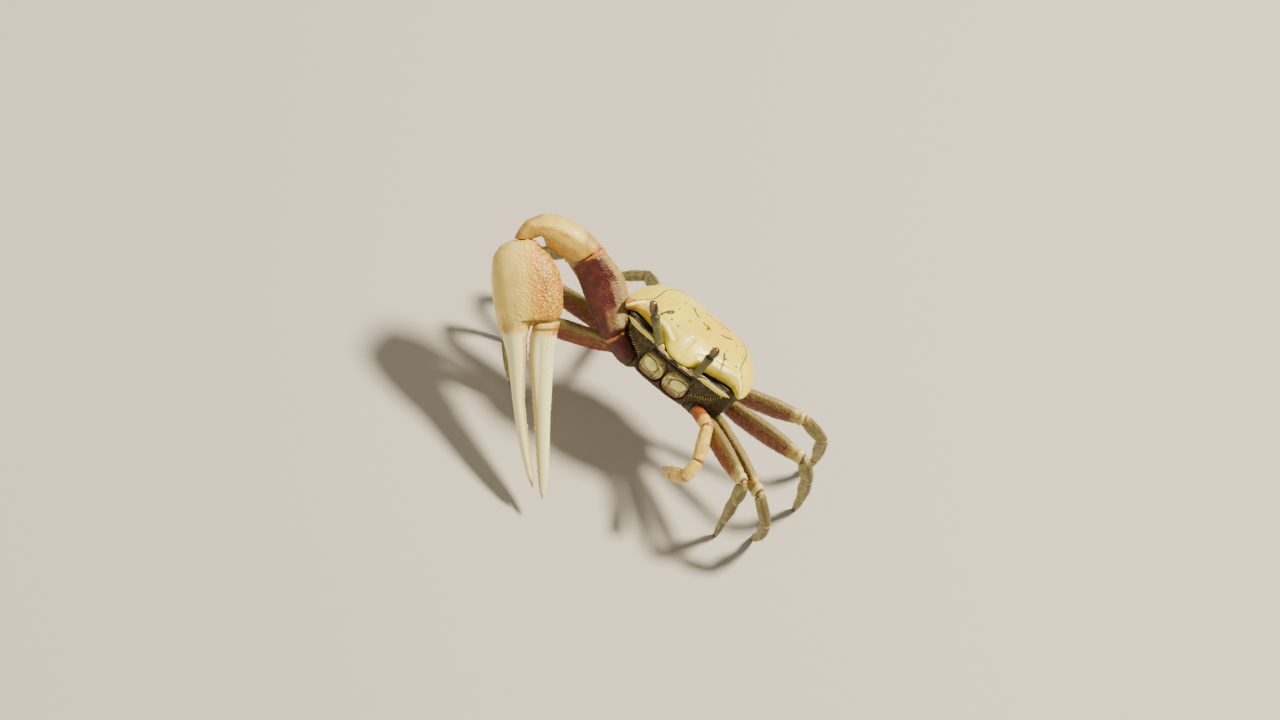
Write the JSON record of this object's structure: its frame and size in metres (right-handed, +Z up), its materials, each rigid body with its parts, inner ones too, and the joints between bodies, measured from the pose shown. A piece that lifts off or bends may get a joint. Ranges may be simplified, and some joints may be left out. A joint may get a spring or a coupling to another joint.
{
  "type": "fiddler crab",
  "caption": "Life-size still model of a male fiddler crab standing with its great right claw held out and down, eyestalks raised.",
  "frame": {"origin": "centre of the whole crab's footprint box, on the floor under it", "axes": "+Z up, -Y the way the crab faces, +X the crab's left; X is the longest side of the box and Z the shortest"},
  "size_m": [0.06, 0.0478, 0.0335],
  "materials": {
    "shield_cream": "smooth glossy cream-yellow shell with small brown spots, squiggles and dotted margin lines",
    "face_olive": "dark olive-brown downy shell with bright cream orbital margins",
    "mouth_cream": "cream-white shell with olive lines and brown lower parts",
    "belly_buff": "dull buff shell, browner towards the leg bases",
    "stalk_olive": "smooth grey-green stalk",
    "cornea_brown": "glossy dark brown eye with a fine grain of facets",
    "arm_maroon": "dark maroon inner face and grey-brown granular top, orange at the joint",
    "arm_olive": "granular olive-yellow shell",
    "claw_ivory": "ivory shell with orange-tan granules above and brown tips",
    "leg_rust": "rust-red front and olive-grey top with a yellow ring at the knee",
    "leg_olive": "olive-yellow shell going brown at the tips"
  },
  "bodies": {
    "root": {"carapace": "shield_cream", "face": "face_olive", "thorax": "belly_buff", "abdomen": "belly_buff", "maxilliped_left": "mouth_cream", "eyestalk_left": "stalk_olive", "cornea_left": "cornea_brown", "maxilliped_right": "mouth_cream", "eyestalk_right": "stalk_olive", "cornea_right": "cornea_brown", "claw_right_ischium": "arm_maroon", "claw_right_merus": "arm_maroon", "claw_right_carpus": "arm_olive", "claw_right_palm": "claw_ivory", "claw_right_dactyl": "claw_ivory", "claw_left_ischium": "leg_rust", "claw_left_merus": "arm_olive", "claw_left_carpus": "arm_olive", "claw_left_palm": "mouth_cream", "claw_left_dactyl": "mouth_cream", "leg_left_1_merus": "leg_rust", "leg_left_1_carpus": "leg_olive", "leg_left_1_propodus": "leg_olive", "leg_left_1_dactyl": "leg_olive", "leg_left_2_merus": "leg_rust", "leg_left_2_carpus": "leg_olive", "leg_left_2_propodus": "leg_olive", "leg_left_2_dactyl": "leg_olive", "leg_left_3_merus": "leg_rust", "leg_left_3_carpus": "leg_olive", "leg_left_3_propodus": "leg_olive", "leg_left_3_dactyl": "leg_olive", "leg_left_4_merus": "leg_rust", "leg_left_4_carpus": "leg_olive", "leg_left_4_propodus": "leg_olive", "leg_left_4_dactyl": "leg_olive", "leg_right_1_merus": "leg_rust", "leg_right_1_carpus": "leg_olive", "leg_right_1_propodus": "leg_olive", "leg_right_1_dactyl": "leg_olive", "leg_right_2_merus": "leg_rust", "leg_right_2_carpus": "leg_olive", "leg_right_2_propodus": "leg_olive", "leg_right_2_dactyl": "leg_olive", "leg_right_3_merus": "leg_rust", "leg_right_3_carpus": "leg_olive", "leg_right_3_propodus": "leg_olive", "leg_right_3_dactyl": "leg_olive", "leg_right_4_merus": "leg_rust", "leg_right_4_carpus": "leg_olive", "leg_right_4_propodus": "leg_olive", "leg_right_4_dactyl": "leg_olive"}
  },
  "joints": []
}
